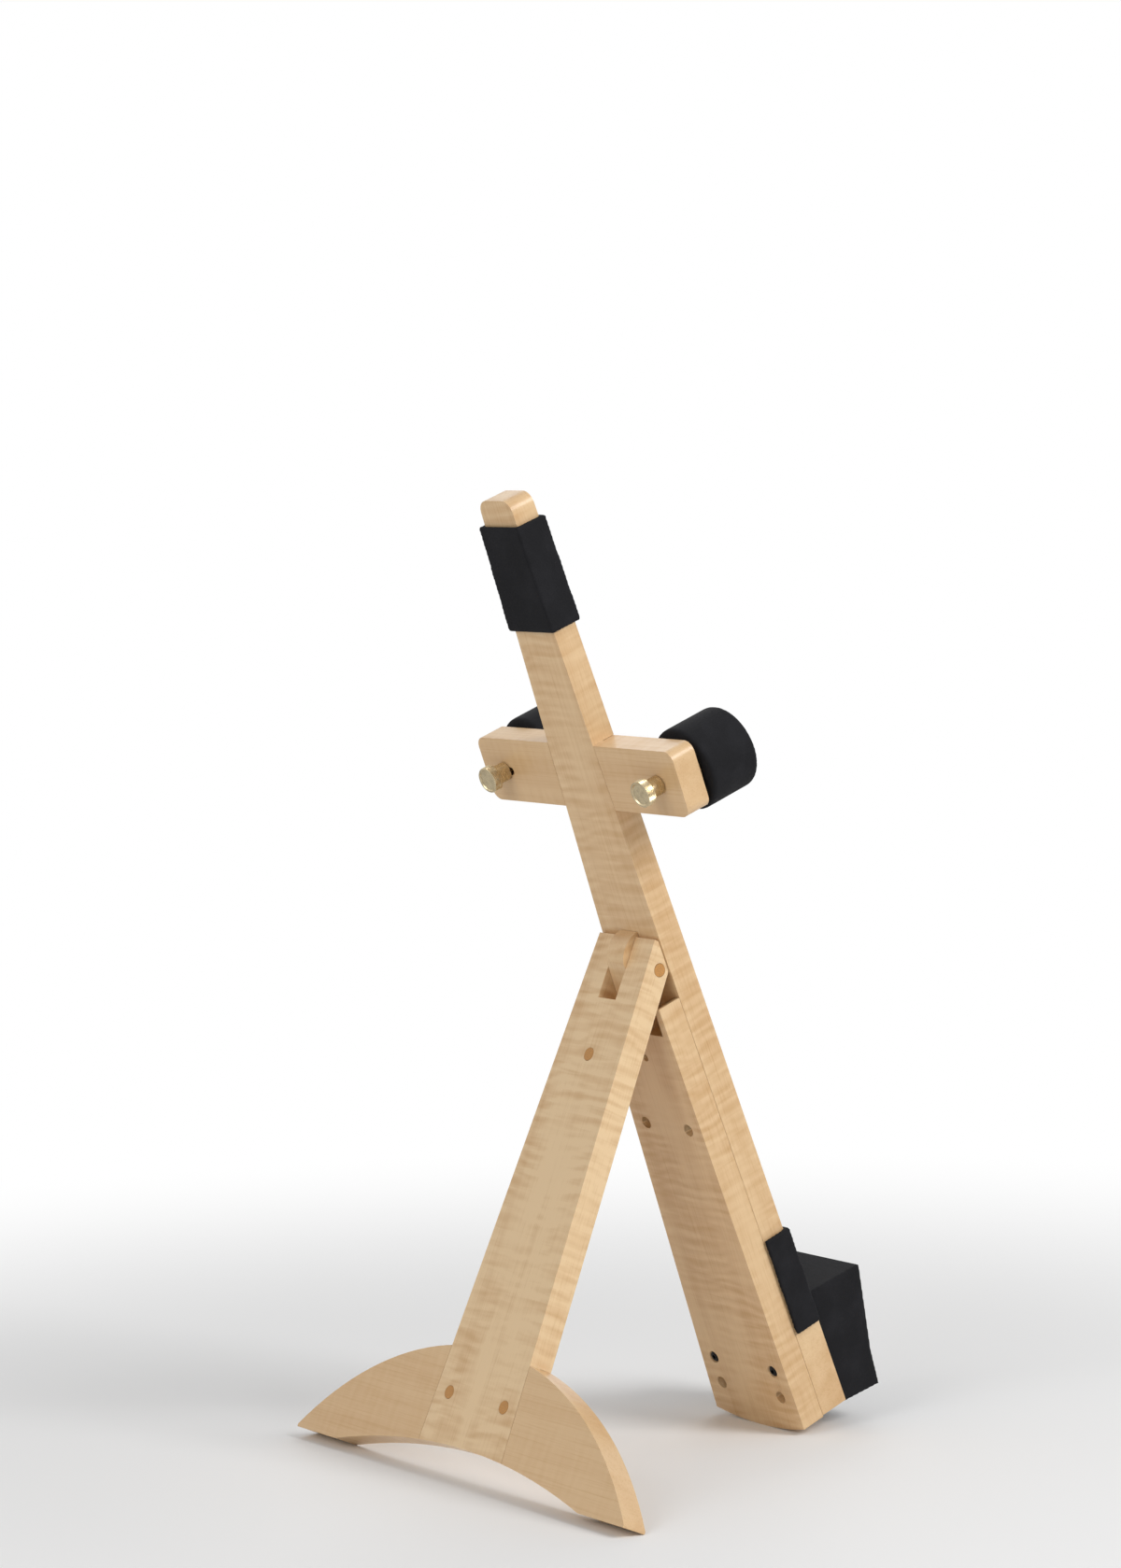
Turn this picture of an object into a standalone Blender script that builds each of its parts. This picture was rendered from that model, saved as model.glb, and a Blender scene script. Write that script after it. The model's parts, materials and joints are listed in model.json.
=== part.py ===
"""Wooden floor stand with a hinged back leg, a padded shelf and two adjustable side pads.

The boards are modelled in the frame of the upright: X runs across the stand, Y points out of
the back of the boards with the upright's back face at Y = 0, and Z runs up along the upright.
The back leg is modelled in its own frame, with the hinge pin along X at its origin and Z up
along the leg. Two empties then recline the upright and open the leg, and the whole stand is
set down with the middle of its floor area at the world's origin.
"""

import math

import bmesh
import bpy
from mathutils import Vector

# Shared sizes, in metres

FIT = 0.0003                # gap between two pieces that touch
BOARD = 0.020               # thickness of every maple board
EASE = 0.0015               # rounding of the boards' long edges
HALF_AT_BASE = 0.04965      # half-width of the tapered boards at Z = 0
TAPER = 0.0445              # half-width lost for each metre of height
PLUG_RADIUS = 0.00475       # dowel plugs over the screws
PLUG_DEPTH = 0.0055

# Upright

SPINE_TOP = 0.7165
TIP_RADIUS = 0.009

# Cross arm

ARM_CENTRE = 0.5081
ARM_HALF_HEIGHT = 0.0246
ARM_HALF_LENGTH = 0.1115
ARM_CORNER = 0.008

# Backing board, with the tongue that carries the leg

BACKING_CORNER = -0.001     # height of the bottom corners
BACKING_BELLY = 0.0055      # how far the bottom edge bows down in the middle
SHOULDER = 0.338
NOTCH_BOTTOM = 0.316
PRONG_WIDTH = 0.0056        # wood left outside each notch
TONGUE_HALF = 0.0096
TONGUE_TOP = 0.3875
TONGUE_RADIUS = 0.0205      # just over the board, so that the round starts on its back face
CATCH_HEIGHT = 0.296        # small blind hole under the hinge
CATCH_RADIUS = 0.003
CATCH_DEPTH = 0.006

# Hinge and leg

PIN_RADIUS = 0.00475
PIN_OUT = 0.0076            # pin axis behind the upright's back face
PIN_HEIGHT = 0.363
LEG_ANGLE = math.radians(44.5)
LEG_FRONT = 0.008           # leg's front face ahead of the pin axis
LEG_HALF = 0.0323           # half-width at the pin
LEG_OVER_PIN = 0.0187
LEG_SLOT_DEPTH = 0.0285
LEG_PLUG_DROP = 0.0702

# Foot, measured down the leg from the pin

FOOT_ARC_CENTRE = 0.540
FOOT_ARC_RADIUS = 0.251
FOOT_DROP = 0.3797          # underside of the two end pads
FOOT_HALF = 0.1915
FOOT_PAD = 0.049            # length of each end pad
ARCH_DROP = 0.361           # top of the arch between the pads
FOOT_PLUG_X = 0.0319
FOOT_PLUG_DROP = 0.3256

# Shelf

BLOCK_HEIGHT = 0.0665
LEDGE_HALF = 0.045
LEDGE_TOP_BACK = 0.088
LEDGE_BOTTOM_BACK = -0.0035
LEDGE_FRONT = ((0.0750, 0.0850), (0.0680, 0.0480), (0.0626, 0.0200), (0.0606, -0.0076))
COVER = 0.0032              # black foam over the shelf's core

# Foam sleeves on the upright

WRAP = 0.0032
WRAP_ROUND = 0.0018
LOWER_WRAP_TOP = 0.143
UPPER_WRAP_BOTTOM = 0.619
UPPER_WRAP_TOP = 0.698

# Screws through the backing board

COUNTERBORE = 0.0048        # radius
BOARD_SCREW_X = 0.024
BOARD_SCREW_Z = 0.2405
BLOCK_SCREW_X = 0.0332
BLOCK_SCREW_Z = 0.0227
SCREW_SEAT = 0.010          # depth of a wood screw's seat below the back face
SCREW_HEAD = 0.0038
SCREW_HEAD_HEIGHT = 0.0026
SCREW_SHANK = 0.0020
SCREW_BITE = 0.014          # length in the board in front
BOLT_X = 0.0333
BOLT_Z = 0.0442
BOLT_SEAT = 0.0026
BOLT_HEAD = 0.0043
BOLT_HEAD_HEIGHT = 0.0024
BOLT_SHANK = 0.0025
BOLT_HEX = 0.0015           # across the flats, halved
BOLT_BITE = 0.014           # length in the shelf's core
INSERT_WALL = 0.0016
INSERT_LENGTH = 0.012

# Foot screws

FOOT_SCREW_BITE = 0.007

# Side pads and thumbscrews

PAD_X = 0.0877
PAD_Z = 0.5073
PAD_TRAVEL = 0.0065         # slide of each pad towards the upright
POST_RADIUS = 0.018
POST_END = 0.064            # far end of the post ahead of the upright's back face
FOAM_RADIUS = 0.0305
FOAM_NEAR = 0.024
FOAM_FAR = 0.0665
FOAM_ROUND = 0.0022
STUD_RADIUS = 0.0029
STUD_REACH = 0.046
NECK_RADIUS = 0.0070
NECK_LENGTH = 0.0107
KNOB_RADIUS = 0.0097
KNOB_LENGTH = 0.0072
KNOB_CHAMFER = 0.0006
PAD_INSERT_LENGTH = 0.013

# How finely round shapes are divided

ROUND_STEPS = 40
SMALL_STEPS = 24
CORNER_STEPS = 6
ARC_STEPS = 21
EASE_STEPS = 2
EASE_ANGLE = math.radians(40)
SMOOTH_ANGLE = math.radians(48)
MARGIN = 0.004              # how far a cutter stands out of the wood

MAPLE = ((0.62, 0.42, 0.23), 0.42, 0.0)
WALNUT = ((0.20, 0.10, 0.05), 0.50, 0.0)
FOAM = ((0.012, 0.012, 0.014), 0.92, 0.0)
BRASS = ((0.60, 0.44, 0.20), 0.28, 1.0)
BLACK_STEEL = ((0.02, 0.02, 0.02), 0.45, 1.0)


def side_half(height):
    """Half-width of the tapered boards at a height."""
    return HALF_AT_BASE - TAPER * height


def leg_half(drop):
    """Half-width of the leg at a distance below the pin."""
    return LEG_HALF + TAPER * drop


def arc(centre, radius, start, end, steps):
    """Points of an arc, both ends included, with angles in radians."""
    points = []
    for step in range(steps + 1):
        angle = start + (end - start) * step / steps
        points.append((centre[0] + radius * math.cos(angle), centre[1] + radius * math.sin(angle)))
    return points


def fillet(before, corner, after, radius, steps=CORNER_STEPS):
    """Points of the arc that rounds one corner of an outline."""
    corner = Vector(corner)
    back = (Vector(before) - corner).normalized()
    ahead = (Vector(after) - corner).normalized()
    half = back.angle(ahead) / 2
    centre = corner + (back + ahead).normalized() * radius / math.sin(half)
    reach = radius / math.tan(half)
    first = corner + back * reach - centre
    last = corner + ahead * reach - centre
    start = math.atan2(first.y, first.x)
    turn = math.atan2(last.y, last.x) - start
    if turn > math.pi:
        turn -= 2 * math.pi
    if turn < -math.pi:
        turn += 2 * math.pi
    return arc(centre, radius, start, start + turn, steps)


def mirrored(right_side):
    """Closed outline from its points at +X, listed bottom to top."""
    left_side = [(-x, y) for x, y in reversed(right_side) if x > 0]
    return right_side + left_side


def set_in(outline, distances):
    """Outline whose edges are moved in, the edge after point i by distances[i]."""
    count = len(outline)
    area = sum(
        outline[i][0] * outline[(i + 1) % count][1] - outline[(i + 1) % count][0] * outline[i][1]
        for i in range(count)
    )
    turn = 1 if area > 0 else -1
    lines = []
    for i in range(count):
        start = Vector(outline[i])
        along = (Vector(outline[(i + 1) % count]) - start).normalized()
        inward = Vector((-along.y, along.x)) * turn
        lines.append((start + inward * distances[i], along))
    points = []
    for i in range(count):
        (p, u), (q, v) = lines[i - 1], lines[i]
        cross = u.x * v.y - u.y * v.x
        travel = ((q - p).x * v.y - (q - p).y * v.x) / cross
        points.append(tuple(p + u * travel))
    return points


def finish(name, look):
    """Material of one piece from its colour, roughness and metallic value."""
    colour, roughness, metallic = look
    material = bpy.data.materials.new(name + "_finish")
    material.use_nodes = True
    shader = material.node_tree.nodes["Principled BSDF"]
    shader.inputs["Base Color"].default_value = (*colour, 1.0)
    shader.inputs["Roughness"].default_value = roughness
    shader.inputs["Metallic"].default_value = metallic
    material.diffuse_color = (*colour, 1.0)
    return material


def ease_edges(bm, wanted, radius=EASE):
    """Round the sharp edges whose middle point is wanted."""
    picked = []
    for edge in bm.edges:
        middle = (edge.verts[0].co + edge.verts[1].co) / 2
        if edge.calc_face_angle(0.0) > EASE_ANGLE and wanted(middle):
            picked.append(edge)
    bmesh.ops.bevel(
        bm, geom=picked, offset=radius, offset_type="OFFSET", segments=EASE_STEPS,
        profile=0.5, affect="EDGES", clamp_overlap=True,
    )


def add_object(name, bm, parent, place=(0, 0, 0)):
    """Object from a finished bmesh, hung on its parent."""
    bmesh.ops.recalc_face_normals(bm, faces=bm.faces)
    mesh = bpy.data.meshes.new(name)
    bm.to_mesh(mesh)
    bm.free()
    mesh.shade_smooth()
    mesh.set_sharp_from_angle(angle=SMOOTH_ANGLE)
    piece = bpy.data.objects.new(name, mesh)
    bpy.context.scene.collection.objects.link(piece)
    piece.parent = parent
    piece.location = place
    return piece


def add_piece(name, bm, look, parent, place=(0, 0, 0)):
    """Visible piece with its own material."""
    piece = add_object(name, bm, parent, place)
    piece.data.materials.append(finish(name, look))
    return piece


def add_axis(name, parent, place, tilt=0.0):
    """Empty that carries the pieces of one moving group."""
    axis = bpy.data.objects.new(name, None)
    axis.empty_display_size = 0.03
    bpy.context.scene.collection.objects.link(axis)
    axis.parent = parent
    axis.location = place
    axis.rotation_euler = (tilt, 0.0, 0.0)
    return axis


def cut(target, name, bm, place=(0, 0, 0)):
    """Take a shape out of a piece with a Boolean."""
    cutter = add_object(name, bm, target.parent, place)
    cutter.hide_render = True
    cutter.display_type = "WIRE"
    boolean = target.modifiers.new(name, "BOOLEAN")
    boolean.operation = "DIFFERENCE"
    boolean.solver = "EXACT"
    boolean.object = cutter


def plate(outline, front, back):
    """Flat board: an outline in X and Z between two values of Y."""
    bm = bmesh.new()
    near = [bm.verts.new((x, front, z)) for x, z in outline]
    far = [bm.verts.new((x, back, z)) for x, z in outline]
    close_prism(bm, near, far)
    return bm


def bar(profile, half_width):
    """Bar along X: a profile in Y and Z whose half-width is a function of Z."""
    bm = bmesh.new()
    near = [bm.verts.new((-half_width(z), y, z)) for y, z in profile]
    far = [bm.verts.new((half_width(z), y, z)) for y, z in profile]
    close_prism(bm, near, far)
    return bm


def close_prism(bm, near, far):
    """Faces of a prism between two rings of vertices."""
    bm.faces.new(near)
    bm.faces.new(reversed(far))
    for i in range(len(near)):
        j = (i + 1) % len(near)
        bm.faces.new((near[i], far[i], far[j], near[j]))


def turned(profile, steps=ROUND_STEPS, ring=False):
    """Solid turned about Y from (radius, y) pairs; a ring's profile closes on itself."""
    bm = bmesh.new()
    rows = []
    for radius, y in profile:
        if radius == 0:
            rows.append([bm.verts.new((0, y, 0))])
            continue
        row = []
        for step in range(steps):
            angle = 2 * math.pi * step / steps
            row.append(bm.verts.new((radius * math.cos(angle), y, radius * math.sin(angle))))
        rows.append(row)
    pairs = list(zip(rows, rows[1:]))
    if ring:
        pairs.append((rows[-1], rows[0]))
    for first, second in pairs:
        for i in range(steps):
            j = (i + 1) % steps
            corners = [first[i % len(first)], first[j % len(first)]]
            corners += [second[j % len(second)], second[i % len(second)]]
            bm.faces.new(list(dict.fromkeys(corners)))
    return bm


def rod(radius, front, back, steps=SMALL_STEPS):
    """Plain cylinder about Y."""
    return turned(((0, front), (radius, front), (radius, back), (0, back)), steps)


def tube(inner, outer, front, back, steps=SMALL_STEPS):
    """Plain tube about Y."""
    return turned(((inner, front), (outer, front), (outer, back), (inner, back)), steps, ring=True)


def cross_rod(radius, half_length):
    """Plain cylinder about X, centred on its origin."""
    bm = bmesh.new()
    near = []
    far = []
    for step in range(SMALL_STEPS):
        angle = 2 * math.pi * step / SMALL_STEPS
        y = radius * math.cos(angle)
        z = radius * math.sin(angle)
        near.append(bm.verts.new((-half_length, y, z)))
        far.append(bm.verts.new((half_length, y, z)))
    close_prism(bm, near, far)
    return bm


def make_spine(stand):
    """Upright board, half-lapped at the front for the cross arm."""
    bottom = BLOCK_HEIGHT + FIT
    arm_low = ARM_CENTRE - ARM_HALF_HEIGHT
    arm_high = ARM_CENTRE + ARM_HALF_HEIGHT
    stops = (bottom, SHOULDER, arm_low, arm_high)
    right_side = [(side_half(z), z) for z in stops]
    tip = (side_half(SPINE_TOP), SPINE_TOP)
    right_side += fillet(right_side[-1], tip, (-tip[0], tip[1]), TIP_RADIUS)
    bm = plate(mirrored(right_side), -BOARD, 0.0)

    def wanted(point):
        in_lap = arm_low < point.z < arm_high
        behind_backing = point.y > -BOARD / 2 and point.z < SHOULDER
        return not in_lap and not behind_backing and point.z > bottom and abs(point.y + BOARD / 2) > EASE

    ease_edges(bm, wanted)
    spine = add_piece("spine", bm, MAPLE, stand)
    lap_low = arm_low - FIT
    lap_high = arm_high + FIT
    lap_half = side_half(0.0)
    lap = [(-lap_half, lap_low), (lap_half, lap_low), (lap_half, lap_high), (-lap_half, lap_high)]
    cut(spine, "spine_lap", plate(lap, -BOARD - MARGIN, -BOARD / 2))
    for side in (-1, 1):
        pilot = rod(SCREW_SHANK + FIT, -SCREW_BITE - FIT, MARGIN)
        cut(spine, "spine_pilot_" + side_name(side), pilot, (side * BOARD_SCREW_X, 0, BOARD_SCREW_Z))
    return spine


def make_cross_arm(stand):
    """Cross arm, half-lapped at the back for the upright and slotted for the pads."""
    low = ARM_CENTRE - ARM_HALF_HEIGHT
    high = ARM_CENTRE + ARM_HALF_HEIGHT
    corner_low = (ARM_HALF_LENGTH, low)
    corner_high = (ARM_HALF_LENGTH, high)
    right_side = [(side_half(low), low)]
    right_side += fillet(right_side[0], corner_low, corner_high, ARM_CORNER)
    right_side += fillet(corner_low, corner_high, (side_half(high), high), ARM_CORNER)
    right_side.append((side_half(high), high))
    bm = plate(mirrored(right_side), -BOARD, 0.0)

    def wanted(point):
        return abs(point.x) > side_half(low) and abs(point.y + BOARD / 2) > EASE

    ease_edges(bm, wanted)
    arm = add_piece("cross_arm", bm, MAPLE, stand)
    heights = (low - MARGIN, high + MARGIN)
    lap = mirrored([(side_half(z) + FIT, z) for z in heights])
    cut(arm, "cross_arm_lap", plate(lap, -BOARD / 2 - FIT, MARGIN))
    slot_radius = STUD_RADIUS + FIT
    for side in (-1, 1):
        outer = arc((PAD_TRAVEL / 2, 0), slot_radius, -math.pi / 2, math.pi / 2, CORNER_STEPS * 2)
        inner = arc((-PAD_TRAVEL / 2, 0), slot_radius, math.pi / 2, 3 * math.pi / 2, CORNER_STEPS * 2)
        slot = plate(outer + inner, -BOARD - MARGIN, MARGIN)
        middle = side * (PAD_X - PAD_TRAVEL / 2)
        cut(arm, "cross_arm_slot_" + side_name(side), slot, (middle, 0, PAD_Z))
    return arm


def make_backing(stand):
    """Backing board with its bowed bottom edge, shoulders, notches and hinge tongue."""
    half = side_half(BACKING_CORNER)
    radius = (half ** 2 + BACKING_BELLY ** 2) / (2 * BACKING_BELLY)
    swing = math.asin(half / radius)
    centre = (0, BACKING_CORNER - BACKING_BELLY + radius)
    bottom = arc(centre, radius, -math.pi / 2 - swing, -math.pi / 2 + swing, ARC_STEPS)
    top_half = side_half(SHOULDER)
    notch_half = top_half - PRONG_WIDTH
    right_top = [(top_half, SHOULDER), (notch_half, SHOULDER), (notch_half, NOTCH_BOTTOM)]
    right_top += [(TONGUE_HALF, NOTCH_BOTTOM), (TONGUE_HALF, TONGUE_TOP + MARGIN)]
    left_top = [(-x, z) for x, z in reversed(right_top)]
    bm = plate(bottom + right_top + left_top, FIT, BOARD)

    def wanted(point):
        on_tongue = abs(point.x) < TONGUE_HALF + EASE and point.z > NOTCH_BOTTOM + EASE
        return point.y > BOARD - EASE and not on_tongue

    ease_edges(bm, wanted)
    backing = add_piece("backing_board", bm, MAPLE, stand)
    start = math.acos(BOARD / TONGUE_RADIUS) / 2
    round_centre = (0, TONGUE_TOP - TONGUE_RADIUS)
    crown = arc(round_centre, TONGUE_RADIUS, start, math.pi / 2, CORNER_STEPS * 2)
    crown += [(-MARGIN, TONGUE_TOP), (-MARGIN, TONGUE_TOP + 2 * MARGIN)]
    crown += [(BOARD + MARGIN, TONGUE_TOP + 2 * MARGIN), (BOARD + MARGIN, crown[0][1])]
    cut(backing, "tongue_crown", bar(crown, lambda z: TONGUE_HALF + MARGIN))
    pin_hole = cross_rod(PIN_RADIUS + FIT, TONGUE_HALF + MARGIN)
    cut(backing, "tongue_pin_hole", pin_hole, (0, PIN_OUT, PIN_HEIGHT))
    catch = rod(CATCH_RADIUS, BOARD - CATCH_DEPTH, BOARD + MARGIN)
    cut(backing, "backing_catch_hole", catch, (0, 0, CATCH_HEIGHT))
    for side in (-1, 1):
        label = side_name(side)
        wood_screws = (("upper", BOARD_SCREW_X, BOARD_SCREW_Z), ("lower", BLOCK_SCREW_X, BLOCK_SCREW_Z))
        for row, x, z in wood_screws:
            hole = stepped_hole(SCREW_SEAT, SCREW_SHANK)
            cut(backing, "backing_" + row + "_hole_" + label, hole, (side * x, 0, z))
        hole = stepped_hole(BOLT_SEAT, BOLT_SHANK)
        cut(backing, "backing_bolt_hole_" + label, hole, (side * BOLT_X, 0, BOLT_Z))
    return backing


def stepped_hole(seat, shank):
    """Counterbored hole through the backing board."""
    floor = BOARD - seat
    profile = (
        (0, -MARGIN), (shank + FIT, -MARGIN), (shank + FIT, floor),
        (COUNTERBORE, floor), (COUNTERBORE, BOARD + MARGIN), (0, BOARD + MARGIN),
    )
    return turned(profile, SMALL_STEPS)


def make_block(stand):
    """Block under the upright, as deep as the upright with its foam sleeve."""
    depth = BOARD + FIT + WRAP
    outline = mirrored([(side_half(0.0), 0.0), (side_half(BLOCK_HEIGHT), BLOCK_HEIGHT)])
    bm = plate(outline, -depth, 0.0)

    def wanted(point):
        return point.y < -EASE and point.z < BLOCK_HEIGHT - EASE

    ease_edges(bm, wanted)
    block = add_piece("shelf_block", bm, MAPLE, stand)
    for side in (-1, 1):
        label = side_name(side)
        pilot = rod(SCREW_SHANK + FIT, -SCREW_BITE - FIT, MARGIN)
        cut(block, "block_pilot_" + label, pilot, (side * BLOCK_SCREW_X, 0, BLOCK_SCREW_Z))
        hole = rod(BOLT_SHANK + FIT, -depth - MARGIN, MARGIN)
        cut(block, "block_bolt_hole_" + label, hole, (side * BOLT_X, 0, BOLT_Z))
    return block


def ledge_outline():
    """Side view of the foam-covered shelf, from its top back corner round the front."""
    back = -(BOARD + FIT + WRAP + FIT)
    front = [(-out, z) for out, z in LEDGE_FRONT]
    return [(back, LEDGE_TOP_BACK)] + front + [(back, LEDGE_BOTTOM_BACK)]


def make_ledge(stand):
    """Shelf: a wooden core with threaded inserts in a cover of black foam."""
    outer = ledge_outline()
    walls = [COVER] * (len(outer) - 1)
    core_outline = set_in(outer, walls + [0.0])
    core = add_piece("ledge_core", bar(core_outline, lambda z: LEDGE_HALF - COVER), MAPLE, stand)
    back = outer[0][0]
    for side in (-1, 1):
        label = side_name(side)
        bore = rod(insert_radius() + FIT, back - INSERT_LENGTH - FIT, back + MARGIN)
        cut(core, "ledge_insert_bore_" + label, bore, (side * BOLT_X, 0, BOLT_Z))
        tip = rod(BOLT_SHANK + FIT, back - BOLT_BITE - 2 * FIT, back)
        cut(core, "ledge_bolt_bore_" + label, tip, (side * BOLT_X, 0, BOLT_Z))
        insert = tube(BOLT_SHANK + FIT, insert_radius(), back - INSERT_LENGTH, back)
        add_piece("ledge_insert_" + label, insert, BRASS, stand, (side * BOLT_X, 0, BOLT_Z))
    bm = bar(outer, lambda z: LEDGE_HALF)
    ease_edges(bm, lambda point: point.y < back - EASE, COVER / 3)
    cover = add_piece("ledge_cover", bm, FOAM, stand)
    pocket = set_in(outer, [wall - FIT for wall in walls] + [-MARGIN])
    cut(cover, "ledge_pocket", bar(pocket, lambda z: LEDGE_HALF - COVER + FIT))
    return cover


def insert_radius():
    """Outer radius of a threaded insert in the shelf."""
    return BOLT_SHANK + FIT + INSERT_WALL


def make_sleeves(stand):
    """Foam sleeves: one round the upright's top, one round its front and sides below."""
    front = -(BOARD + FIT + WRAP)
    back = FIT + WRAP
    ends = (UPPER_WRAP_BOTTOM, UPPER_WRAP_TOP)
    bm = tapered_block(front, back, ends, FIT + WRAP)
    ease_edges(bm, lambda point: ends[0] < point.z < ends[1], WRAP_ROUND)
    upper = add_piece("upper_sleeve", bm, FOAM, stand)
    inside = tapered_block(-BOARD - FIT, FIT, (ends[0] - MARGIN, ends[1] + MARGIN), FIT)
    cut(upper, "upper_sleeve_inside", inside)

    ends = (BLOCK_HEIGHT + FIT, LOWER_WRAP_TOP)
    bm = tapered_block(front, 0.0, ends, FIT + WRAP)

    def wanted(point):
        return ends[0] < point.z < ends[1] and point.y < front / 2

    ease_edges(bm, wanted, WRAP_ROUND)
    lower = add_piece("lower_sleeve", bm, FOAM, stand)
    inside = tapered_block(-BOARD - FIT, MARGIN, (ends[0] - MARGIN, ends[1] + MARGIN), FIT)
    cut(lower, "lower_sleeve_inside", inside)


def tapered_block(front, back, ends, outside):
    """Block that follows the upright's taper, a little outside its edges."""
    outline = mirrored([(side_half(z) + outside, z) for z in ends])
    return plate(outline, front, back)


def side_name(side):
    """Name for the pieces at +X or at -X."""
    return "left" if side > 0 else "right"


def make_backing_screws(stand):
    """Two sunk wood screws into the upright, two into the block, and two button-head bolts."""
    wood_screws = (("board_screw_", BOARD_SCREW_X, BOARD_SCREW_Z), ("block_screw_", BLOCK_SCREW_X, BLOCK_SCREW_Z))
    for side in (-1, 1):
        label = side_name(side)
        for name, x, z in wood_screws:
            floor = BOARD - SCREW_SEAT + FIT
            bm = wood_screw(floor, -SCREW_BITE)
            add_piece(name + label, bm, BLACK_STEEL, stand, (side * x, 0, z))
        floor = BOARD - BOLT_SEAT + FIT
        tip = ledge_outline()[0][0] - BOLT_BITE
        profile = (
            (0, tip), (BOLT_SHANK, tip), (BOLT_SHANK, floor), (BOLT_HEAD, floor),
            (BOLT_HEAD, floor + BOLT_HEAD_HEIGHT * 0.3),
            (BOLT_HEAD * 0.86, floor + BOLT_HEAD_HEIGHT * 0.75),
            (BOLT_HEAD * 0.55, floor + BOLT_HEAD_HEIGHT), (0, floor + BOLT_HEAD_HEIGHT),
        )
        bolt = add_piece("ledge_bolt_" + label, turned(profile, SMALL_STEPS), BLACK_STEEL, stand,
                         (side * BOLT_X, 0, BOLT_Z))
        hexagon = arc((0, 0), BOLT_HEX / math.cos(math.pi / 6), 0, 2 * math.pi, 6)[:-1]
        socket = plate(hexagon, floor + BOLT_HEAD_HEIGHT * 0.35, floor + BOLT_HEAD_HEIGHT + MARGIN)
        cut(bolt, "ledge_bolt_socket_" + label, socket, (side * BOLT_X, 0, BOLT_Z))


def wood_screw(seat, tip):
    """Pan-head wood screw about Y with its tip towards -Y."""
    profile = (
        (0, tip), (SCREW_SHANK * 0.5, tip + SCREW_SHANK), (SCREW_SHANK, tip + SCREW_SHANK * 2),
        (SCREW_SHANK, seat), (SCREW_HEAD, seat), (SCREW_HEAD, seat + SCREW_HEAD_HEIGHT * 0.5),
        (SCREW_HEAD * 0.7, seat + SCREW_HEAD_HEIGHT), (0, seat + SCREW_HEAD_HEIGHT),
    )
    return turned(profile, SMALL_STEPS)


def leg_profile():
    """Side view of the leg: its bevel rests on the upright's back when the leg is open."""
    back = BOARD - LEG_FRONT
    top = LEG_OVER_PIN
    reach = PIN_OUT - FIT
    bevel_top = (top * math.sin(LEG_ANGLE) - reach) / math.cos(LEG_ANGLE)
    nose = LEG_ANGLE - math.acos(reach / LEG_FRONT)
    round_points = arc((0, 0), LEG_FRONT, math.pi - nose, math.pi, CORNER_STEPS)
    low = -(ARCH_DROP + 2 * MARGIN)
    return [(back, low), (back, top), (bevel_top, top)] + round_points + [(-LEG_FRONT, low)]


def make_leg(leg_axis):
    """Leg with its hinge slot, bevelled head and half-lapped lower end."""
    back = BOARD - LEG_FRONT
    bm = bar(leg_profile(), lambda z: leg_half(-z))

    def wanted(point):
        on_back = point.y > back - EASE
        on_front = point.y < EASE - LEG_FRONT and point.z < -LEG_FRONT
        return abs(point.x) > TONGUE_HALF and (on_back or on_front)

    ease_edges(bm, wanted)
    leg = add_piece("leg", bm, MAPLE, leg_axis)
    slot_half = TONGUE_HALF + FIT
    slot = [(-slot_half, -LEG_SLOT_DEPTH), (slot_half, -LEG_SLOT_DEPTH)]
    slot += [(slot_half, LEG_OVER_PIN + MARGIN), (-slot_half, LEG_OVER_PIN + MARGIN)]
    cut(leg, "leg_slot", plate(slot, -LEG_FRONT - MARGIN, back + MARGIN))
    cut(leg, "leg_pin_hole", cross_rod(PIN_RADIUS + FIT, LEG_HALF + MARGIN))
    lap_y = (back - LEG_FRONT) / 2
    shoulder = arc((0, -FOOT_ARC_CENTRE), FOOT_ARC_RADIUS + FIT, math.radians(40), math.radians(140), ARC_STEPS)
    shoulder += [(shoulder[-1][0], -ARCH_DROP - 2 * BOARD), (shoulder[0][0], -ARCH_DROP - 2 * BOARD)]
    cut(leg, "leg_lap", plate(shoulder, -LEG_FRONT - MARGIN, lap_y + FIT))
    cut(leg, "leg_arch", plate(arch_outline(), -LEG_FRONT - MARGIN, back + MARGIN))
    plug_floor = back - PLUG_DEPTH - FIT
    plug_hole = rod(PLUG_RADIUS + FIT, plug_floor, back + MARGIN)
    cut(leg, "leg_plug_hole", plug_hole, (0, 0, -LEG_PLUG_DROP))
    plug = rod(PLUG_RADIUS, back - PLUG_DEPTH, back)
    add_piece("leg_plug", plug, WALNUT, leg_axis, (0, 0, -LEG_PLUG_DROP))
    make_foot_fastenings(leg, leg_axis, back, lap_y)
    return leg


def arch_outline():
    """Region under the arch of the foot, in the leg's frame."""
    half = FOOT_HALF - FOOT_PAD
    rise = FOOT_DROP - ARCH_DROP
    radius = (half ** 2 + rise ** 2) / (2 * rise)
    swing = math.asin(half / radius)
    return arc((0, -ARCH_DROP - radius), radius, math.pi / 2 - swing, math.pi / 2 + swing, ARC_STEPS)


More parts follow.
